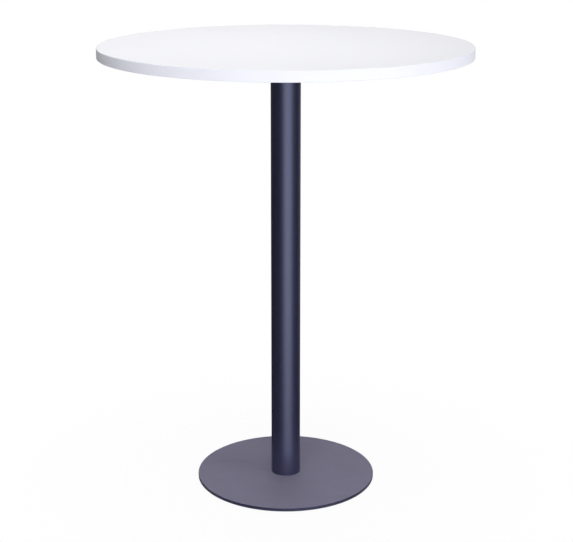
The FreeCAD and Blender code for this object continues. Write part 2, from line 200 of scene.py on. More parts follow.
GROUPS = {"pub_table_sizes": TableSizes, "pub_table_finish": TableFinish,
          "pub_table_studio": Studio}


def settings(group):
    """The sizes, the finish or the studio, as they stand in the scene."""
    return getattr(bpy.context.scene, f"pub_table_{group}")


PICTURE_WIDTH = 573
PICTURE_HEIGHT = 542
SENSOR_WIDTH = 36


# ---------- Surfaces ----------

def turn(count):
    """Angles evenly round a turn, from 0, without the one that would be the first again."""
    return np.linspace(0, 2 * math.pi, count, endpoint=False)


def from_nearest(angles, count):
    """The angle a from the nearest of some directions evenly round a turn, the first at 0."""
    pitch = 2 * math.pi / count
    return (angles + pitch / 2) % pitch - pitch / 2


def polar(radius, angle, *height):
    """Points (r cos t, r sin t), with a height where one is given."""
    return np.stack((radius * np.cos(angle), radius * np.sin(angle), *height), axis=-1)


def skin(points, wrap_rows=False, wrap_columns=True):
    """The quads between neighbours in a grid of points, as vertices and faces."""
    rows, columns = points.shape[:2]
    index = np.arange(rows * columns).reshape(rows, columns)
    if wrap_rows:
        index = np.vstack((index, index[:1]))
    if wrap_columns:
        index = np.hstack((index, index[:, :1]))
    corners = (index[:-1, :-1], index[:-1, 1:], index[1:, 1:], index[1:, :-1])
    return points.reshape(-1, 3), np.stack(corners, axis=-1).reshape(-1, 4)


def loops(angles, rows, wrap_rows=False):
    """Closed loops one above the other. Each row is a radius r, one number or one for each
    angle t, and a height z; its points are (r cos t, r sin t, z)."""
    radii = np.array([np.broadcast_to(radius, angles.shape) for radius, _ in rows])
    heights = np.array([[height] for _, height in rows]) + np.zeros_like(angles)
    return skin(polar(radii, angles, heights), wrap_rows)


def arc(centre, radius, start, end, steps=8):
    """Rows along an arc in the half plane: r = rc + a cos u and z = zc + a sin u, with u from
    start to end in degrees."""
    u = np.radians(np.linspace(start, end, steps + 1))
    return list(zip(centre[0] + radius * np.cos(u), centre[1] + radius * np.sin(u)))


def pierced_face(outline, holes, height):
    """A flat face at a height, with the Delaunay triangles of an outline and of the rims of
    some holes. A hole is a centre and a radius; triangles with their middle in one are left
    out."""
    circle = polar(1, turn(SMALL_ROUND))
    rims = [outline] + [np.array(centre) + radius * circle for centre, radius in holes]
    starts = np.cumsum([0] + [len(rim) for rim in rims])
    rings = [start + np.arange(len(rim)) for start, rim in zip(starts, rims)]
    edges = [np.stack((ring, np.roll(ring, -1)), axis=-1) for ring in rings]
    flat = np.concatenate(rims)
    found = delaunay_2d_cdt([Vector(p) for p in flat], np.concatenate(edges).tolist(), [], 1,
                            MERGE_DISTANCE)
    flat = np.array([tuple(p) for p in found[0]])
    triangles = np.array(found[2])
    middles = flat[triangles].mean(axis=1)
    for centre, radius in holes:
        outside = np.hypot(*(middles - np.array(centre)).T) > radius
        triangles, middles = triangles[outside], middles[outside]
    return np.column_stack((flat, np.full(len(flat), height))), triangles


def thread(angles, core, crest, pitch, low, high):
    """A screw thread on a shank. Row i starts a quarter of the pitch above row i - 1, and each
    row climbs by one pitch in a turn, so its end meets the start of the row four above. The
    radius goes from core to crest and back in four rows, and fades to the core at both ends,
    where the heights stop."""
    turned = np.append(angles, 2 * math.pi) / (2 * math.pi)
    steps = np.arange(-4, 4 * math.ceil((high - low) / pitch) + 5)
    climb = low + (steps[:, None] / 4 + turned) * pitch
    ridge = np.array((0, 0.5, 1, 0.5))[steps % 4]
    fade = np.clip(np.minimum(climb - low, high - climb) / pitch, 0, 1)
    radii = core + (crest - core) * ridge[:, None] * fade
    return skin(polar(radii, 2 * math.pi * turned, np.clip(climb, low, high)),
                wrap_columns=False)


def copies(surfaces, centres, level=0.0, direction=1, turned=0.0):
    """Some surfaces once for each centre, each copy turned further than the one before. With u
    its angle, (x, y) goes to the centre + (x cos u - y sin u, x sin u + y cos u) and z to the
    level + direction z, where a direction of -1 hangs it upside down."""
    made = []
    for number, (across, back) in enumerate(centres):
        cos, sin = math.cos(turned * number), math.sin(turned * number)
        for points, faces in surfaces:
            x, y, z = points.T
            made.append((np.stack((across + cos * x - sin * y, back + sin * x + cos * y,
                                   level + direction * z), axis=-1), faces))
    return made


def cross_outline(angles, span):
    """The outline of a cross recess, as a radius for each angle. With a the angle from the
    nearest arm, it is the nearer of the arm's end, half the span / cos a, and the arm's side,
    half its width / sin a. The arm's corners are 15 degrees from its middle."""
    a = np.abs(from_nearest(angles, 4))
    half_width = span / 2 * math.tan(math.radians(15))
    return np.minimum(span / 2 / np.cos(a), half_width / np.maximum(np.sin(a), 1e-9))


def hexagon_outline(angles, flats):
    """The outline of a hexagon: half the width across flats / cos a, with a the angle from the
    middle of the nearest flat."""
    return flats / 2 / np.cos(from_nearest(angles, 6))


def rounded_square_outline(angles, side, corner):
    """The outline of a square with round corners, as a radius for each angle. With a the angle
    from the middle of the nearest side, it is half the side / cos a up to the corner, and then
    the far crossing of the ray with the corner's circle."""
    a = np.abs(from_nearest(angles, 4))
    middle = side / 2 - corner
    along = middle * (np.cos(a) + np.sin(a))
    across = middle * (np.cos(a) - np.sin(a))
    round_part = along + np.sqrt(np.maximum(corner ** 2 - across ** 2, 0))
    return np.where(side / 2 * np.tan(a) <= middle, side / 2 / np.cos(a), round_part)


def notched_outline(angles, radius, count, notch_radius, notch_depth):
    """A circle with round notches. A notch's circle has its centre at c, beyond the rim, so at
    an angle a from it the outline is c cos a - sqrt(q^2 - c^2 sin^2 a) where that is nearer
    than the rim, with q the notch's radius."""
    a = from_nearest(angles, count)
    centre = radius + notch_radius - notch_depth
    inside = notch_radius ** 2 - (centre * np.sin(a)) ** 2
    near = centre * np.cos(a) - np.sqrt(np.maximum(inside, 0))
    return np.where(inside > 0, np.minimum(near, radius), radius)


class Place:
    """Where a CAD node is at rest: its middle, its half width, and its lowest and highest z."""

    def __init__(self, node):
        low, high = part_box(node)
        self.middle = ((low.x + high.x) / 2, (low.y + high.y) / 2)
        self.radius = (high.x - low.x) / 2
        self.bottom = low.z
        self.top = high.z


def add_object(name, data):
    """A new object in the scene."""
    made = bpy.data.objects.new(name, data)
    bpy.context.scene.collection.objects.link(made)
    return made


def make_piece(name, surfaces, finish, nodes, body="table"):
    """One mesh from some surfaces: joined where they meet, turned outwards, and shaded smooth
    up to its sharp edges. It has a finish, rides on a body and stands for CAD nodes."""
    mesh = bpy.data.meshes.new(name)
    starts = np.cumsum([0] + [len(points) for points, _ in surfaces])
    points = np.concatenate([points for points, _ in surfaces])
    faces = [(start + face).tolist() for start, (_, group) in zip(starts, surfaces)
             for face in np.asarray(group)]
    mesh.from_pydata(points.tolist(), [], faces)
    work = bmesh.new()
    work.from_mesh(mesh)
    bmesh.ops.remove_doubles(work, verts=work.verts, dist=MERGE_DISTANCE)
    bmesh.ops.recalc_face_normals(work, faces=work.faces)
    for face in work.faces:
        face.smooth = True
    for edge in work.edges:
        edge.smooth = edge.calc_face_angle(math.pi) < SHARP_ANGLE
    open_edges = sum(not edge.is_manifold for edge in work.edges)
    work.to_mesh(mesh)
    work.free()
    if open_edges:
        raise ValueError(f"{name} has {open_edges} edges that don't join two faces")
    mesh.materials.append(material(finish))
    piece = add_object(name, mesh)
    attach(piece, body)
    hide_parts(*nodes)


# ---------- Shader maths ----------

class Value:
    """A number that changes over a surface. Sums on it add Math nodes."""

    def __init__(self, recipe, socket):
        self.recipe = recipe
        self.socket = socket

    def __add__(self, other):
        return self.recipe.math("ADD", self, other)

    __radd__ = __add__

    def __sub__(self, other):
        return self.recipe.math("SUBTRACT", self, other)

    def __rsub__(self, other):
        return self.recipe.math("SUBTRACT", other, self)

    def __mul__(self, other):
        return self.recipe.math("MULTIPLY", self, other)

    __rmul__ = __mul__


class Recipe:
    """One material's or the world's nodes, built by adding them from the inputs on."""

    def __init__(self, owner):
        owner.use_nodes = True
        self.tree = owner.node_tree
        self.tree.nodes.clear()

    def add(self, kind, sockets=None, output=0, **properties):
        """Adds a shader node: its properties first, and then its sockets' values or links.
        Gives one of its outputs."""
        node = self.tree.nodes.new("ShaderNode" + kind)
        for name, setting in properties.items():
            setattr(node, name, setting)
        for key, given in (sockets or {}).items():
            if isinstance(given, Value):
                self.tree.links.new(given.socket, node.inputs[key])
            else:
                node.inputs[key].default_value = given
        return Value(self, node.outputs[output]) if node.outputs else None

    def math(self, operation, *numbers):
        """A Math node on one or two numbers."""
        return self.add("Math", dict(enumerate(numbers)), operation=operation)

    def position(self, stretch, turned=0):
        """Object coordinates, stretched, and turned about the upright axis."""
        where = self.add("TexCoord", output="Object")
        return self.add("Mapping", {"Vector": where, "Scale": stretch,
                                    "Rotation": (0, 0, turned)})

    def axes(self, coordinates="Object"):
        """Coordinates as three numbers."""
        where = self.add("TexCoord", output=coordinates)
        split = self.add("SeparateXYZ", {"Vector": where}).socket.node
        return [Value(self, socket) for socket in split.outputs]

    def from_axis(self):
        """The distance from the table's upright axis, and the height."""
        x, y, z = self.axes()
        return self.math("SQRT", x * x + y * y), z

    def ray(self, kind):
        """1 for light of one kind, such as gloss or shadow, and 0 for the rest."""
        return self.add("LightPath", output=f"Is {kind} Ray")

    def seen(self):
        """1 for what the camera sees, also through glass, and 0 for other light."""
        return self.ray("Camera") + self.ray("Transmission")

    def noise(self, scale, detail=2, roughness=0.5, where=None, stretch=(1, 1, 1), turned=0):
        """Cloudy noise around 0.5, at a place or on the object; scale is in clouds to the
        metre."""
        where = where or self.position(stretch, turned)
        return self.add("TexNoise", {"Vector": where, "Scale": scale, "Detail": detail,
                                     "Roughness": roughness})

    def step(self, value, low, high):
        """A smooth step from 0 at low to 1 at high."""
        return self.add("MapRange", {"Value": value, "From Min": low, "From Max": high},
                        interpolation_type="SMOOTHSTEP")

    def blend(self, factor, first, second):
        """A colour between two colours."""
        first, second = ((*c, 1) if isinstance(c, tuple) else c for c in (first, second))
        return self.add("Mix", {0: factor, 6: first, 7: second}, output=2, data_type="RGBA")

    def bump(self, height, distance):
        """Normals raised by a height that goes from 0 to 1, over a distance in metres."""
        return self.add("Bump", {"Height": height, "Distance": distance, "Strength": 1.0})

    def mix(self, factor, first, second):
        """A shader between two shaders."""
        return self.add("MixShader", {0: factor, 1: first, 2: second})

    def surface(self, shader, output="OutputMaterial"):
        """Ends the recipe with its shader."""
        self.add(output, {"Surface": shader})


def darker(shade, factor):
    """A colour times a number."""
    return tuple(channel * factor for channel in shade)


# ---------- Finishes ----------

BAND_SPECULAR = 0.3
DISC_SPECULAR = 0.3
COAT_IOR = 1.86
COAT_TINT = (0.64, 0.68, 1.0, 1)  # of the powder coat's gloss


def white_laminate(recipe, shade):
    """Satin melamine: a fine pearl texture, faint clouds in the white, and soft wipe marks
    that change only its gloss."""
    clouds = recipe.noise(scale=5, detail=3)
    wiped = recipe.noise(scale=1, detail=4, roughness=0.6, stretch=(2.5, 26, 1), turned=0.6)
    pearl = recipe.noise(scale=1500)
    rim = Place("table_top_laminate").radius
    grime = recipe.step(recipe.from_axis()[0], rim - 0.008, rim + 0.0005)
    tone = recipe.step(clouds * 0.7 + wiped * 0.3, 0.25, 0.75)
    white = recipe.blend(tone, darker(shade, 0.985), darker(shade, 1.01))
    return {
        "Base Color": recipe.blend(grime * 0.35, white, darker(shade, 0.95)),
        "Roughness": wiped * 0.10 + (settings("finish").laminate_roughness - 0.05),
        "Normal": recipe.bump(pearl, distance=0.00001),
    }


def white_edge_band(recipe, shade):
    """Moulded plastic strip: fine grain along its length, buffed smoother where its edges were
    scraped round after it was glued on."""
    place = Place("table_top_edge_band")
    middle, half = (place.bottom + place.top) / 2, (place.top - place.bottom) / 2
    x, y, z = recipe.axes()
    around = recipe.math("ARCTAN2", y, x) * place.radius
    along = recipe.add("CombineXYZ", {"X": around, "Z": z * 9})
    grain = recipe.noise(scale=420, detail=3, where=along)
    clouds = recipe.noise(scale=14, detail=3)
    edge = recipe.step(recipe.math("ABSOLUTE", z - middle), half - 0.002, half - 0.0003)
    return {
        "Base Color": recipe.blend(clouds, darker(shade, 0.98), darker(shade, 1.01)),
        "Roughness": 0.46 - edge * 0.12 + clouds * 0.05,
        "Specular IOR Level": BAND_SPECULAR,
        "Normal": recipe.bump(grain, distance=0.000012),
    }


def coat_with_wear_and_sheen(recipe, shade, wear_and_sheen, specular=1.0):
    """Satin powder coat: a fine orange peel, a tighter grain in its gloss, and a paler, more
    matt
    colour where the mask is not 0: dust and scuffs, and on the disc's upper face painted sheen."""
    peel = recipe.noise(scale=620, roughness=0.45)
    grain = recipe.noise(scale=2600, detail=1)
    clouds = recipe.noise(scale=9, detail=4, roughness=0.55)
    finish = settings("finish")
    coat = recipe.blend(clouds, darker(shade, 0.94), darker(shade, 1.06))
    return {
        "Base Color": recipe.blend(wear_and_sheen, coat, tuple(finish.coat_dust_and_sheen)),
        "Roughness": wear_and_sheen * 0.45 + grain * 0.05 + clouds * 0.05 + (finish.coat_roughness - 0.05),
        "Specular IOR Level": specular,
        "IOR": COAT_IOR,
        "Specular Tint": COAT_TINT,
        "Normal": recipe.bump(peel, distance=0.00004),
    }


def column_coat(recipe, shade):
    """The column's coat, with a little dust low down where shoes reach it."""
    low = 1 - recipe.step(recipe.axes()[2], 0.02, 0.22)
    marks = recipe.noise(scale=60, detail=4, roughness=0.6, stretch=(1, 1, 0.35))
    return coat_with_wear_and_sheen(recipe, shade, low * recipe.step(marks, 0.56, 0.74) * 0.03)


def disc_coat(recipe, shade):
    """The disc's coat: a pale film over its whole upper face, painted sheen that stands in for
    the coat's grazing gloss, with dust in it rubbed into faint arcs by shoes, and a thinner coat
    on its rounded edge."""
    place = Place("base_disc")
    radius, z = recipe.from_axis()
    upper = recipe.step(z, place.top - 0.0004, place.top - 0.0001)
    rubbed = recipe.noise(scale=4, detail=4, roughness=0.6, stretch=(3, 9, 1), turned=0.5)
    specks = recipe.step(recipe.noise(scale=160, detail=3, roughness=0.7), 0.62, 0.78)
    rim = recipe.step(radius, place.radius - 0.0012, place.radius - 0.0002)
    # Painted sheen with dust: the whole upper face is made paler to stand for the coat's grazing
    # gloss.
    sheen_and_dust = upper * (0.80 + rubbed * 0.20 + specks * 0.10)
    return coat_with_wear_and_sheen(recipe, shade, sheen_and_dust + rim * 0.05, DISC_SPECULAR)


def plate_coat(recipe, shade):
    """The mounting plate's coat, clean because nothing reaches it."""
    return coat_with_wear_and_sheen(recipe, shade, recipe.noise(scale=40, detail=3) * 0.03)


def zinc_plate(recipe, shade):
    """Bright zinc with a faint warm and cool film and fine turning lines."""
    sheen_and_dust = recipe.noise(scale=170)
    lines = recipe.noise(scale=900, stretch=(1, 1, 14))
    warm = (shade[0] * 1.06, shade[1] * 1.0, shade[2] * 0.86)
    cool = (shade[0] * 0.90, shade[1] * 0.98, shade[2] * 1.08)
    return {
        "Base Color": recipe.blend(recipe.step(sheen_and_dust, 0.35, 0.65), cool, warm),
        "Metallic": 1.0,
        "Roughness": 0.24 + lines * 0.12,
        "Normal": recipe.bump(lines, distance=0.000008),
    }


def bare_steel(recipe, shade):
    """Sawn and welded steel: rings from the lathe, and the blue and straw tint of the heat
    next to the weld."""
    bore = Place("column_tube").radius - settings("sizes").tube_wall
    radius, z = recipe.from_axis()
    rings = recipe.noise(scale=2600, where=recipe.add("CombineXYZ", {"X": radius, "Y": z}))
    clouds = recipe.noise(scale=90, detail=4, roughness=0.6)
    heat = recipe.step(radius + clouds * 0.004, bore - 0.0085, bore)
    blue, straw = (0.16, 0.17, 0.26), (0.34, 0.24, 0.12)
    tinted = recipe.blend(recipe.step(clouds, 0.4, 0.6), blue, straw)
    plain = recipe.blend(clouds, darker(shade, 0.85), darker(shade, 1.1))
    return {
        "Base Color": recipe.blend(heat * 0.7, plain, tinted),
        "Metallic": 1.0,
        "Roughness": 0.36 + rings * 0.18,
        "Normal": recipe.bump(rings, distance=0.00001),
    }


def black_nylon(recipe, shade):
    """Moulded nylon: fine matt texture, paler where the underside has slid on floors."""
    texture = recipe.noise(scale=2200)
    under = 1 - recipe.step(recipe.axes()[2], 0.00002, GROOVE_DEPTH)
    scratches = recipe.noise(scale=9, detail=4, roughness=0.7, stretch=(6, 90, 1), turned=0.9)
    worn, pale = under * recipe.step(scratches, 0.5, 0.68), (0.09, 0.09, 0.095)
    return {
        "Base Color": recipe.blend(worn * 0.5, shade, pale),
        "Roughness": 0.50 + texture * 0.08 + worn * 0.15,
        "Normal": recipe.bump(texture, distance=0.00002),
    }


def chip_core(recipe, shade):
    """Pressed chips: flat cells of different woods, in fine glue dust."""
    here = recipe.position(stretch=(1, 1, 2.2))
    cells = recipe.add("TexVoronoi", {"Vector": here, "Scale": 260}, output="Color")
    tone = recipe.add("SeparateColor", {"Color": cells})
    edge = recipe.add("TexVoronoi", {"Vector": here, "Scale": 260}, feature="DISTANCE_TO_EDGE")
    dust = recipe.noise(scale=900, detail=3, where=here)
    chips = recipe.blend(tone, tuple(settings("finish").chip_dark), shade)
    return {
        "Base Color": recipe.blend(recipe.step(dust, 0.45, 0.7) * 0.4, chips,
                                   darker(shade, 0.8)),
        "Roughness": 0.78 + dust * 0.12,
        "Normal": recipe.bump(recipe.step(edge, 0.0, 0.12) + dust * 0.3, distance=0.00025),
    }


# The property with a finish's colour, its slot in the record, and what gives its sockets.
Finish = namedtuple("Finish", "shade slot sockets")

FINISHES = {
    "white_laminate": Finish("laminate", "white_laminate", white_laminate),
    "white_edge_band": Finish("band", "white_edge_band", white_edge_band),
    "column_coat": Finish("coat", "black_powder_coat", column_coat),
    "disc_coat": Finish("coat", "black_powder_coat", disc_coat),
    "plate_coat": Finish("coat", "black_powder_coat", plate_coat),
    "zinc_plate": Finish("zinc", "zinc_plated_steel", zinc_plate),
    "bare_steel": Finish("steel", "bare_steel", bare_steel),
    "black_nylon": Finish("nylon", "black_nylon", black_nylon),
    "chip_core": Finish("chip_light", "particleboard", chip_core),
}


def material(name):
    """The material of a finish, made the first time that it is asked for: a Principled shader
    with the sockets that the finish's function gives."""
    full_name = name + "_finish"
    if full_name in bpy.data.materials:
        return bpy.data.materials[full_name]
    finish = FINISHES[name]
    shade = tuple(getattr(settings("finish"), finish.shade))
    made = bpy.data.materials.new(full_name)
    made.diffuse_color = (*shade, 1)
    recipe = Recipe(made)
    recipe.surface(recipe.add("BsdfPrincipled", finish.sockets(recipe, shade)))
    return made


# ---------- Pieces ----------

class Undoable:
    """Lets a user take an operator's work back."""
    bl_options = {"REGISTER", "UNDO"}


class PUBTABLE_OT_laminate(Undoable, bpy.types.Operator):
    """Make the white laminate face of the top"""
    bl_idname = "pub_table.laminate"
    bl_label = "Laminate face"

    def execute(self, context):
        """Rings from the middle of the underside, out round the bevelled rim and back in."""
        sizes = settings("sizes")
        place = Place("table_top_laminate")
        inward = np.linspace(0.94, 0, 10) * place.radius
        rows = [(radius, place.bottom) for radius in inward[::-1]]
        rows += [(place.radius, place.bottom), (place.radius, place.top - sizes.glue_line)]
        rows += [(place.radius - sizes.glue_line, place.top), (place.radius * 0.99, place.top)]
        rows += [(radius, place.top) for radius in inward]
        make_piece("top_laminate_face", [loops(turn(LARGE_ROUND), rows)], "white_laminate",
                   ["table_top_laminate"])
        return {"FINISHED"}


class PUBTABLE_OT_edge_band(Undoable, bpy.types.Operator):
    """Make the white edge band round the top"""
    bl_idname = "pub_table.edge_band"
    bl_label = "Edge band"

    def execute(self, context):
        """The band's section, carried from one side of the rear seam round to the other."""
        sizes = settings("sizes")
        place = Place("table_top_edge_band")
        inner = Place("table_top_laminate").radius
        outer, bend, bevel = place.radius, sizes.band_round, sizes.glue_line
        section = [(inner, place.bottom + bevel), (inner + bevel, place.bottom)]
        section += arc((outer - bend, place.bottom + bend), bend, -90, 0)
        section += arc((outer - bend, place.top - bend), bend, 0, 90)
        section += [(inner + bevel, place.top), (inner, place.top - bevel)]
        section = np.array(section)
        half_seam = sizes.band_seam / 2 / outer
        angles = math.pi / 2 + np.linspace(half_seam, 2 * math.pi - half_seam, LARGE_ROUND + 1)
        points = polar(section[:, :1], angles, section[:, 1:] + np.zeros_like(angles))
        ends = [(points[:, column], [list(range(len(section)))]) for column in (0, -1)]
        make_piece("top_edge_band", [skin(points, wrap_rows=True, wrap_columns=False), *ends],
                   "white_edge_band", ["table_top_edge_band"])
        return {"FINISHED"}


class PUBTABLE_OT_column(Undoable, bpy.types.Operator):
    """Make the column's tube"""
    bl_idname = "pub_table.column"
    bl_label = "Column"

    def execute(self, context):
        """The tube's section turned round: up the outside, over, and down the bore."""
        sizes = settings("sizes")
        place = Place("column_tube")
        bevel, bore = sizes.tube_chamfer, place.radius - sizes.tube_wall
        heights = np.linspace(place.bottom + bevel, place.top - bevel, 16)
        rows = [(place.radius - bevel, place.bottom)]
        rows += [(place.radius, height) for height in heights]
        rows += [(place.radius - bevel, place.top), (bore, place.top), (bore, place.bottom)]
        make_piece("column", [loops(turn(LARGE_ROUND), rows, wrap_rows=True)], "column_coat",
                   ["column_tube"])
        return {"FINISHED"}


def bolt_places(sizes):
    """The machine screws, evenly round their circle."""
    return polar(sizes.bolt_circle / 2, turn(BOLTS))


def glide_places():
    """The middles of the four glides."""
    return [Place(f"glide_{number}_stud").middle for number in range(1, GLIDES + 1)]


class PUBTABLE_OT_base_disc(Undoable, bpy.types.Operator):
    """Make the base disc"""
    bl_idname = "pub_table.base_disc"
    bl_label = "Base disc"

    def execute(self, context):
        """The rim is loops; both faces are flat and pierced; the holes' walls are loops."""
        sizes = settings("sizes")
        place = Place("base_disc")
        low, high, outer = place.bottom, place.top, place.radius
        bend, bevel = sizes.disc_round, sizes.disc_chamfer
        angles = turn(LARGE_ROUND)
        edge = outer - bend - FACE_MARGIN
        rim = [(edge, low), (outer - bevel - CREASE, low), (outer - bevel, low)]
        rim += [(outer, low + bevel), *arc((outer - bend, high - bend), bend, 0, 90)]
        rim += [(outer - bend - CREASE, high), (edge, high)]
        outline = polar(edge, angles)
        bolts = bolt_places(sizes)
        mouth, hole = sizes.bolt_countersink / 2, sizes.bolt_hole / 2
        glide = sizes.glide_hole / 2
        small = turn(SMALL_ROUND)
        under = [(at, mouth) for at in bolts] + [(at, glide) for at in glide_places()]
        surfaces = [loops(angles, rim), pierced_face(outline, under, low),
                    pierced_face(outline, [(at, hole) for at in bolts], high)]
        sunk = [(mouth, low), (hole, low + mouth - hole), (hole, high)]
        blind = [(glide, low), (glide, low + sizes.glide_hole_depth),
                 (0, low + sizes.glide_hole_depth)]
        surfaces += copies([loops(small, sunk)], bolts)
        surfaces += copies([loops(small, blind)], glide_places())
        make_piece("base_plate", surfaces, "disc_coat", ["base_disc"])
        return {"FINISHED"}


def wood_screw_places(sizes):
    """The four corners and the four middles of the sides, in from the plate's edge."""
    reach = Place("mounting_plate").radius - sizes.wood_screw_inset
    return [(x * reach, y * reach) for x in (-1, 0, 1) for y in (-1, 0, 1) if x or y]


class PUBTABLE_OT_mounting_plate(Undoable, bpy.types.Operator):
    """Make the plate under the top"""
    bl_idname = "pub_table.mounting_plate"
    bl_label = "Mounting plate"

    def execute(self, context):
        """The rounded square's loops, two pierced faces and the holes' walls."""
        sizes = settings("sizes")
        place = Place("mounting_plate")
        low, high, side = place.bottom, place.top, 2 * place.radius
        bevel, corner = sizes.plate_chamfer, sizes.plate_corner
        angles = turn(LARGE_ROUND)

        def outline(inset):
            return rounded_square_outline(angles, side - 2 * inset, corner - inset)

        inner = outline(FACE_MARGIN)
        rim = [(inner, low), (outline(bevel + CREASE), low), (outline(bevel), low),
               (outline(0), low + bevel), (outline(0), high), (inner, high)]
        edge = polar(inner, angles)
        bolts = bolt_places(sizes)
        drilled = sizes.wood_screw_hole / 2
        screws = [(at, drilled) for at in wood_screw_places(sizes)]
        mouth, hole = sizes.bolt_countersink / 2, sizes.bolt_hole / 2
        small = turn(SMALL_ROUND)
        surfaces = [loops(angles, rim),
                    pierced_face(edge, screws + [(at, hole) for at in bolts], low),
                    pierced_face(edge, screws + [(at, mouth) for at in bolts], high)]
        sunk = [(hole, low), (hole, high - mouth + hole), (mouth, high)]
        surfaces += copies([loops(small, sunk)], bolts)
        surfaces += copies([loops(small, [(drilled, low), (drilled, high)])],
                           wood_screw_places(sizes))
        make_piece("top_mounting_plate", surfaces, "plate_coat", ["mounting_plate"])
        return {"FINISHED"}


class PUBTABLE_OT_wood_screws(Undoable, bpy.types.Operator):
    """Make the pan-head screws that hold the top"""
    bl_idname = "pub_table.wood_screws"
    bl_label = "Wood screws"

    def execute(self, context):
        """From the middle of the cross recess over the round head, along the thread and to the
        point. Each screw stopped at its own angle."""
        sizes = settings("sizes")
        place = Place("plate_wood_screws")
        angles = turn(SMALL_ROUND)
        cross = cross_outline(angles, sizes.cross_span)
        head, tall = sizes.wood_screw_head / 2, sizes.wood_screw_head_height
        core, crest = sizes.wood_screw_core / 2, sizes.wood_screw_diameter / 2
        bend, lip = tall / 2, RECESS_LIP / 2
        total = place.top - place.bottom
        taper = total - sizes.wood_screw_point
        rows = [(0, sizes.cross_depth), (cross * 0.45, sizes.cross_depth * 0.9)]
        rows += [(cross * 0.96, lip), (cross, 0.0), (head - bend - 2 * lip, 0.0)]
        rows += arc((head - bend, bend), bend, -90, 0, 6)
        rows += [(head, tall), (core, tall)]
        point = [(core, taper), (core * 0.55, (taper + total) / 2), (0, total)]
        screw = [loops(angles, rows), loops(angles, point),
                 thread(angles, core, crest, sizes.wood_screw_pitch, tall, taper)]
        surfaces = copies(screw, wood_screw_places(sizes), place.bottom,
                          turned=WOOD_SCREW_STOP)
        make_piece("pan_head_screws", surfaces, "zinc_plate", ["plate_wood_screws"])
        return {"FINISHED"}


class PUBTABLE_OT_machine_screws(Undoable, bpy.types.Operator):
    """Make the countersunk screws at both ends of the column"""
    bl_idname = "pub_table.machine_screws"
    bl_label = "Machine screws"

    def execute(self, context):
        """From the middle of the hexagon socket over the sunk head, along the thread and to
        its chamfered end."""
        sizes = settings("sizes")
        angles = turn(SMALL_ROUND)
        hexagon = hexagon_outline(angles, sizes.hex_flats)
        head, core, crest = sizes.bolt_head / 2, sizes.bolt_core / 2, sizes.bolt_diameter / 2
        neck = head - core
        for plate, direction in (("base", 1), ("plate", -1)):
            node = f"{plate}_column_screws"
            place = Place(node)
            total = place.top - place.bottom
            end = total - TIP_BEVEL
            rows = [(0, sizes.hex_depth * 1.15), (hexagon * 0.98, sizes.hex_depth)]
            rows += [(hexagon, RECESS_LIP), (hexagon * 1.06, 0.0), (head - 2 * RECESS_LIP, 0.0)]
            rows += [(head, HEAD_LAND), (core, neck)]
            tip = [(core, end), (core - TIP_BEVEL, total), (0, total)]
            screw = [loops(angles, rows), loops(angles, tip),
                     thread(angles, core, crest, sizes.bolt_pitch, neck, end)]
            level = place.bottom if direction > 0 else place.top
            surfaces = copies(screw, bolt_places(sizes), level, direction, BOLT_STOP)
            make_piece(f"{plate}_socket_screws", surfaces, "zinc_plate", [node])
        return {"FINISHED"}


class PUBTABLE_OT_glides(Undoable, bpy.types.Operator):
    """Make the four levelling glides"""
    bl_idname = "pub_table.glides"
    bl_label = "Levelling glides"

    def execute(self, context):
        """Each stud is a thread with a flat lower end and a chamfered upper end; each pad is a
        notched outline carried round its bevels, with rings moulded into its underside and a
        socket for the stud."""
        sizes = settings("sizes")
        small, round_pad = turn(SMALL_ROUND), turn(PAD_ROUND)
        core, crest = sizes.bolt_core / 2, sizes.bolt_diameter / 2
        outer = sizes.glide_diameter / 2

        def outline(inset):
            return notched_outline(round_pad, outer, sizes.glide_notches,
                                   sizes.glide_notch_radius, sizes.glide_notch_depth) - inset

        for number in range(1, GLIDES + 1):
            glide = f"glide_{number}"
            stud, pad = Place(f"{glide}_stud"), Place(f"{glide}_pad")
            end = stud.top - STUD_TIP
            ends = ([(0, stud.bottom), (core, stud.bottom)],
                    [(core, end), (core - TIP_BEVEL, stud.top), (0, stud.top)])
            screw = [loops(small, rows) for rows in ends]
            screw.append(thread(small, core, crest, sizes.bolt_pitch, stud.bottom, end))
            make_piece(f"{glide}_threaded_stud", copies(screw, [stud.middle]), "zinc_plate",
                       [f"{glide}_stud"], f"{glide}_screw")
            bevel, hole = sizes.glide_bevel, sizes.glide_hole / 2
            rows = [(0, GROOVE_DEPTH), (PAD_DISH - GROOVE_SLOPE, GROOVE_DEPTH), (PAD_DISH, 0)]
            rows += [(PAD_RING[0], 0), (PAD_RING[0] + GROOVE_SLOPE, GROOVE_DEPTH)]
            rows += [(PAD_RING[1] - GROOVE_SLOPE, GROOVE_DEPTH), (PAD_RING[1], 0)]
            rows += [(outline(bevel), pad.bottom), (outline(0), pad.bottom + bevel)]
            rows += [(outline(0), pad.top - bevel), (outline(bevel), pad.top)]
            rows += [(hole, pad.top), (hole, stud.bottom), (0, stud.bottom)]
            make_piece(f"{glide}_nylon_pad", copies([loops(round_pad, rows)], [pad.middle]),
                       "black_nylon", [f"{glide}_pad"], f"{glide}_foot")
        return {"FINISHED"}


class PUBTABLE_OT_inner_parts(Undoable, bpy.types.Operator):
    """Finish the parts that keep their CAD shape"""
    bl_idname = "pub_table.inner_parts"
    bl_label = "Inner parts"

    def execute(self, context):
        """The core, the backer, the plugs and their welds."""
        kept = {"table_top_core": "chip_core", "table_top_backer": "white_laminate"}
        for end in ("top", "bottom"):
            kept[f"column_{end}_plug"] = kept[f"{end}_plug_weld"] = "bare_steel"
        for node, finish in kept.items():
            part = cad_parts[node]
            part.material_slots[0].material = material(finish)
        return {"FINISHED"}


# ---------- Studio ----------

FLOOR_FADE = (0.33, 0.98)  # where the floor fades away, as shares of its radius
FLOOR_WHITE = 0.95  # how much of it is plain white to the camera
SHADOWS_PASS = (0.24, 0.34)  # from where it lets light through to the table, and fully
GLOSS_PASSES = (0.226, 0.26)  # from where the table's gloss doesn't show it, and fully

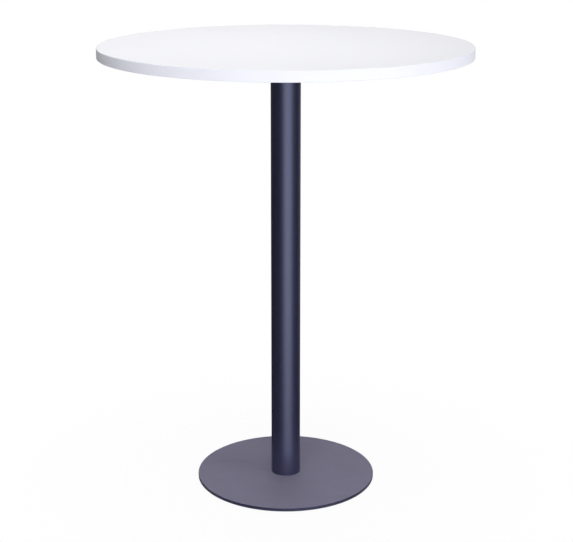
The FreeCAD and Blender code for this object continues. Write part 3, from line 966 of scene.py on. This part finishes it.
# The backdrop as gloss shows it: how far back and how high up it starts, and is full, as
# parts of a direction, and its strength, which is less on the right.
BACKDROP_DEPTH = (0.35, 0.85)
BACKDROP_FOOT = (-0.10, 0.02)
BACKDROP_RIGHT = (0.07, 0.16)
BACKDROP_STRENGTH = 0.80
BACKDROP_DIMMER = 0.16
AMBIENT_DIMMER = 0.9  # how much less of the soft light gloss shows

# Each lamp's name, its width and height, its spread in degrees, its place, what it points at,
# and whether gloss shows it. Its power is a property.
LAMPS = (
    ("key", (2.8, 2.3), 180, (0.65, -2.25, 0.3), (0, 0, 0.3), True),
    ("side", (1.2, 2.0), 180, (2.2, -1.0, 1.0), (0, 0, 0.8), False),
    ("left", (0.5, 0.8), 180, (-0.65, -1.6, 1.15), (-0.1, 0, 1.0), False),
    ("base", (2.0, 0.4), 38, (0, -2.2, 1.5), (0, 0, 0), False),
    ("rear", (4.0, 0.4), 50, (0, 2.2, 1.5), (0, 0, 0), False),
    ("back", (1.0, 1.8), 180, (1.6, 1.8, 0.2), (0, 0, 0.2), True),
    ("fill", (2.8, 2.0), 180, (0, 2.6, 0.6), (0, 0, 0.6), False),
    ("under", (0.2, 0.2), 180, (0, 0, -0.6), (0, 0, 0), True),
    ("top", (1.2, 1.4), 180, (-0.2, 0, 2.7), (-0.1, 0, 1.1), False),
)


class PUBTABLE_OT_studio(Undoable, bpy.types.Operator):
    """Make the floor, the lamps, the background and the camera"""
    bl_idname = "pub_table.studio"
    bl_label = "Studio"

    def execute(self, context):
        """Colours are shown as they are, by the Standard view transform."""
        studio = settings("studio")
        context.scene.view_settings.view_transform = "Standard"
        make_floor(studio)
        make_world(studio)
        make_lamps(studio)
        make_camera(studio)
        return {"FINISHED"}


def make_floor(studio):
    """A flat round floor whose edge fades into the background. It is open under the base disc
    and clear from below, so that the underside can be seen. From a little way outside the disc
    it stops neither the light nor the view in the gloss, as the key box reaches below it."""
    rows = [(radius, 0) for radius in np.linspace(studio.floor_radius, studio.floor_opening, 12)]
    points, faces = loops(turn(SMALL_ROUND), rows)
    mesh = bpy.data.meshes.new("floor")
    mesh.from_pydata(points.tolist(), [], faces.tolist())
    paint = bpy.data.materials.new("floor_paint")
    mesh.materials.append(paint)
    recipe = Recipe(paint)
    radius, _ = recipe.from_axis()
    lit = recipe.add("BsdfDiffuse", {"Color": (*studio.floor, 1)})
    white = recipe.add("Emission", {"Color": (1, 1, 1, 1), "Strength": 1.0})
    ground = recipe.mix(recipe.seen() * FLOOR_WHITE, lit, white)
    clear = recipe.add("BsdfTransparent")
    faded = recipe.step(radius, *(studio.floor_radius * part for part in FLOOR_FADE))
    faded = faded + recipe.ray("Shadow") * recipe.step(radius, *SHADOWS_PASS)
    faded = faded + recipe.ray("Glossy") * recipe.step(radius, *GLOSS_PASSES)
    faded = faded + recipe.add("NewGeometry", output="Backfacing")
    recipe.surface(recipe.mix(faded, ground, clear))
    floor = add_object("floor", mesh)


def make_world(studio):
    """Soft light from all round, before a white backdrop that stands behind the table: the
    camera sees it white on every side, and gloss sees it where it stands."""
    world = bpy.data.worlds.new("studio")
    bpy.context.scene.world = world
    recipe = Recipe(world)
    x, y, z = recipe.axes("Generated")
    behind = recipe.step(y, *BACKDROP_DEPTH) * recipe.step(z, *BACKDROP_FOOT)
    behind = behind * (BACKDROP_STRENGTH - recipe.step(x, *BACKDROP_RIGHT) * BACKDROP_DIMMER)
    gloss = recipe.ray("Glossy")
    level = studio.ambient * (1 - gloss * AMBIENT_DIMMER)
    soft = recipe.add("Background", {"Color": (0.97, 0.98, 1, 1), "Strength": level})
    white = recipe.add("Background", {"Color": (1, 1, 1, 1), "Strength": 1.0})
    recipe.surface(recipe.mix(recipe.seen() + gloss * behind, soft, white), "OutputWorld")


def make_lamps(studio):
    """Soft boxes round the table. Gloss shows the key, the back and the under box; the others
    only fill, and the base and rear box have grids, so that they light the base alone."""
    for name, size, spread, place, target, gloss in LAMPS:
        light = bpy.data.lights.new(name + "_box", "AREA")
        light.shape = "RECTANGLE"
        light.size, light.size_y = size
        light.spread = math.radians(spread)
        light.energy = getattr(studio, name + "_power")
        light.color = studio.lamp_tint
        lamp = add_object(name + "_box", light)
        lamp.location = place
        aim = Vector(target) - Vector(place)
        lamp.rotation_euler = aim.to_track_quat("-Z", "Y").to_euler()
        lamp.visible_camera = False
        lamp.visible_glossy = gloss


def make_camera(studio):
    """A camera in front of the table, tilted down, with the lens axis off the middle."""
    data = bpy.data.cameras.new("camera")
    data.sensor_width = SENSOR_WIDTH
    data.lens = studio.focal_pixels * SENSOR_WIDTH / PICTURE_WIDTH
    data.shift_x = (PICTURE_WIDTH / 2 - studio.centre_across) / PICTURE_WIDTH
    data.shift_y = (studio.centre_down - PICTURE_HEIGHT / 2) / PICTURE_WIDTH
    camera = add_object("camera", data)
    camera.location = (0, -studio.camera_distance, studio.camera_height)
    camera.rotation_euler = (math.pi / 2 - studio.camera_tilt, 0, 0)
    bpy.context.scene.camera = camera


# ---------- The add-on ----------

OPERATORS = (
    PUBTABLE_OT_laminate, PUBTABLE_OT_edge_band, PUBTABLE_OT_column, PUBTABLE_OT_base_disc,
    PUBTABLE_OT_mounting_plate, PUBTABLE_OT_wood_screws, PUBTABLE_OT_machine_screws,
    PUBTABLE_OT_glides, PUBTABLE_OT_inner_parts, PUBTABLE_OT_studio,
)


class PUBTABLE_PT_panel(bpy.types.Panel):
    """Lists the table's pieces"""
    bl_label = "Pub table"
    bl_idname = "PUBTABLE_PT_panel"
    bl_space_type = "VIEW_3D"
    bl_region_type = "UI"
    bl_category = "Pub table"

    def draw(self, context):
        for operator in OPERATORS:
            self.layout.operator(operator.bl_idname)
        for group, properties in GROUPS.items():
            column = self.layout.column(align=True)
            for name in properties.__annotations__:
                column.prop(getattr(context.scene, group), name)


def register():
    for cls in (*GROUPS.values(), *OPERATORS, PUBTABLE_PT_panel):
        bpy.utils.register_class(cls)
    for name, group in GROUPS.items():
        setattr(bpy.types.Scene, name, PointerProperty(type=group))


def unregister():
    for name in GROUPS:
        delattr(bpy.types.Scene, name)
    for cls in (PUBTABLE_PT_panel, *reversed(OPERATORS), *reversed(GROUPS.values())):
        bpy.utils.unregister_class(cls)


def main():
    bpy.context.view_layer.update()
    register()
    for operator in OPERATORS:
        module, name = operator.bl_idname.split(".")
        getattr(getattr(bpy.ops, module), name)()


if __name__ == "__main__":
    main()
